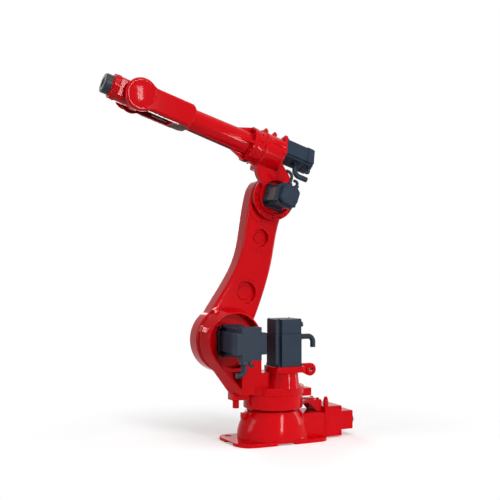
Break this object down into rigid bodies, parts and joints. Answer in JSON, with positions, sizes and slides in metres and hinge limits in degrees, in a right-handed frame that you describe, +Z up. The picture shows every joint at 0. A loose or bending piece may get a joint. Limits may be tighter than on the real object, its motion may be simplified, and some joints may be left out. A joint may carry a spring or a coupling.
{
  "type": "industrial robot arm",
  "caption": "Articulated industrial robot arm on a cast pedestal, with a swivel column, a bowed lower arm, a forked wrist, servo motors and a round tool flange.",
  "frame": {"origin": "on the floor under the swivel axis, at the centre of the floor bolts", "axes": "+X forward along the arm, +Y towards the shoulder motor, +Z up"},
  "size_m": [1.725, 0.537, 2.308],
  "materials": {
    "red_paint": "gloss",
    "motor_paint": "satin",
    "plug_black": "matte",
    "gear_steel": "satin",
    "tool_steel": "satin"
  },
  "bodies": {
    "base": {"base_casting": "red_paint", "connection_box": "red_paint", "box_gland": "red_paint", "socket_housing": "red_paint", "swivel_zero_lug": "red_paint", "swivel_stop_bracket": "red_paint", "swivel_reducer": "gear_steel"},
    "column": {"column_casting": "red_paint", "swivel_stop_pin": "red_paint", "hoist_bracket": "red_paint", "swivel_motor_body": "motor_paint", "swivel_motor_cap": "motor_paint", "swivel_power_plug": "plug_black", "swivel_signal_plug": "plug_black", "shoulder_motor_body": "motor_paint", "shoulder_motor_cap": "motor_paint", "shoulder_power_plug": "plug_black", "shoulder_signal_plug": "plug_black", "shoulder_reducer": "gear_steel"},
    "lower_arm": {"lower_arm_casting": "red_paint", "shoulder_hub_cap": "red_paint", "elbow_hub_cap": "red_paint", "elbow_reducer": "gear_steel"},
    "upper_arm": {"elbow_housing": "red_paint", "roll_reducer": "red_paint", "elbow_motor_body": "motor_paint", "elbow_motor_cap": "motor_paint", "elbow_motor_coder": "motor_paint", "elbow_power_plug": "plug_black", "elbow_signal_plug": "plug_black", "roll_motor_body": "motor_paint", "roll_motor_cap": "motor_paint", "roll_power_plug": "plug_black", "roll_signal_plug": "plug_black"},
    "forearm": {"forearm_casting": "red_paint", "near_wrist_cover": "red_paint", "far_wrist_cover": "red_paint"},
    "wrist": {"wrist_housing": "red_paint"},
    "tool": {"tool_flange": "tool_steel"}
  },
  "joints": [
    {"name": "swivel", "type": "hinge", "parent": "base", "child": "column", "pos_m": [0, 0, 0.3], "axis": [0, 0, 1], "range_deg": [-155, 155]},
    {"name": "shoulder", "type": "hinge", "parent": "column", "child": "lower_arm", "pos_m": [0.3105, 0, 0.668], "axis": [0, 1, 0], "range_deg": [-36, 75]},
    {"name": "elbow", "type": "hinge", "parent": "lower_arm", "child": "upper_arm", "pos_m": [-0.0029, 0, 1.59126], "axis": [0, -1, 0], "range_deg": [-70, 100]},
    {"name": "forearm_roll", "type": "hinge", "parent": "upper_arm", "child": "forearm", "pos_m": [-0.08617, 0, 1.846], "axis": [0.9505, 0, 0.3107], "range_deg": [-210, 210]},
    {"name": "wrist_bend", "type": "hinge", "parent": "forearm", "child": "wrist", "pos_m": [0.93279, 0, 2.17904], "axis": [0, -1, 0], "range_deg": [-125, 125]},
    {"name": "flange_roll", "type": "hinge", "parent": "wrist", "child": "tool", "pos_m": [1.14665, 0, 2.24894], "axis": [0.9505, 0, 0.3107], "range_deg": [-360, 360]}
  ]
}
